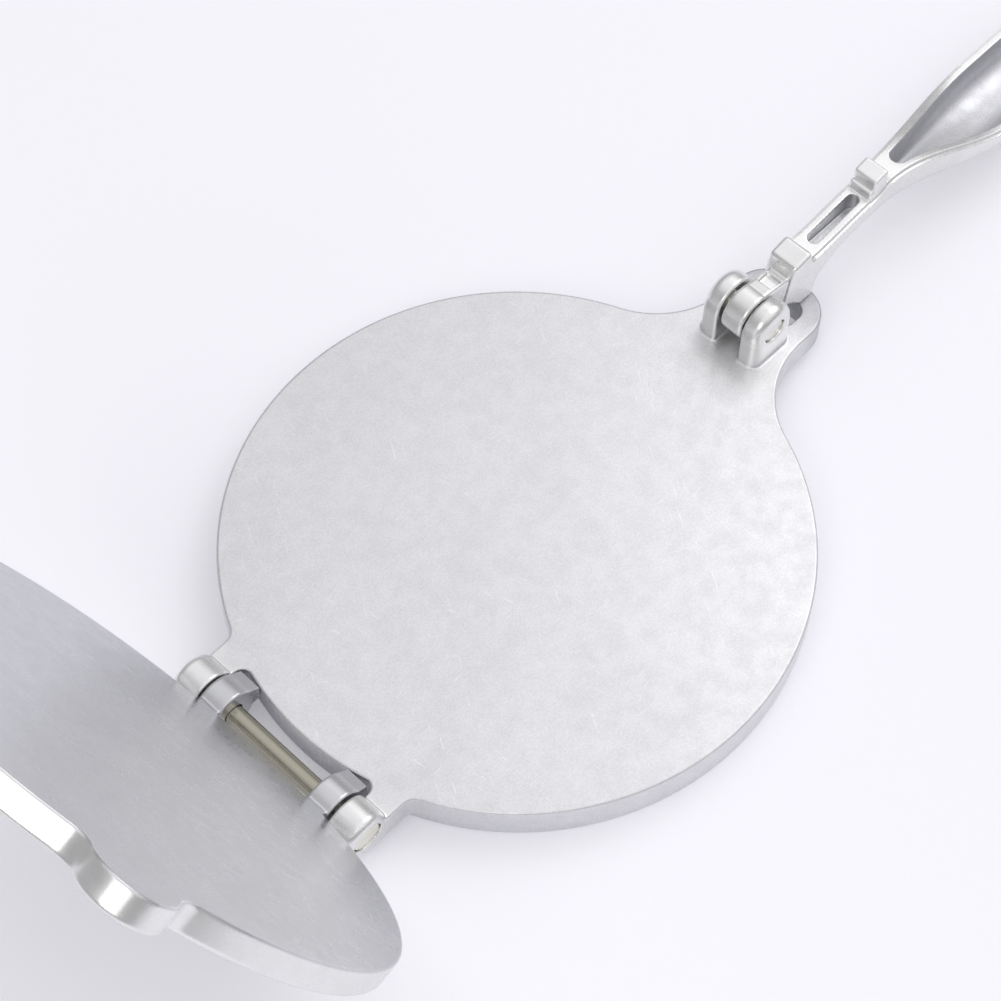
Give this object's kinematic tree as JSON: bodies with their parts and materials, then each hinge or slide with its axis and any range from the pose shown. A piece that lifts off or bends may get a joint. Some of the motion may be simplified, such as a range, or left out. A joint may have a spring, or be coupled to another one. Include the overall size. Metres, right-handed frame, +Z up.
{
  "type": "tortilla press",
  "caption": "Cast aluminium tortilla press: a round top plate hinged at the back folds onto a round base, and a lever pinned at the front presses it shut.",
  "frame": {"origin": "the middle of the round base plate, in the plane of its foot on the table", "axes": "+X from the hinge at the back to the lever's pin at the front, +Y to the left seen from the hinge, +Z up, away from the table"},
  "size_m": [0.5351, 0.202, 0.2014],
  "materials": {
    "cast_face": "cast aluminium, tumbled to a bright satin with fine scratches on the press face",
    "cast_top": "cast aluminium, satin on the press face and rougher on the back",
    "cast_polished": "cast aluminium, tumbled to a soft polish",
    "rod_steel": "zinc-plated steel with a faint yellow cast",
    "pin_steel": "zinc-plated steel with a faint yellow cast"
  },
  "bodies": {
    "base": {"base_plate": "cast_face", "hinge_rod": "rod_steel", "lever_pin": "pin_steel"},
    "top": {"top_plate": "cast_top"},
    "lever_arm": {"lever": "cast_polished"}
  },
  "joints": [
    {"name": "top_hinge", "type": "hinge", "parent": "base", "child": "top", "pos_m": [-0.1098, 0, 0.0152], "axis": [0, 1, 0], "range_deg": [0, 117.4]},
    {"name": "lever_pivot", "type": "hinge", "parent": "base", "child": "lever_arm", "pos_m": [0.114, 0, 0.03], "axis": [0, -1, 0], "range_deg": [0, 169.5]}
  ]
}
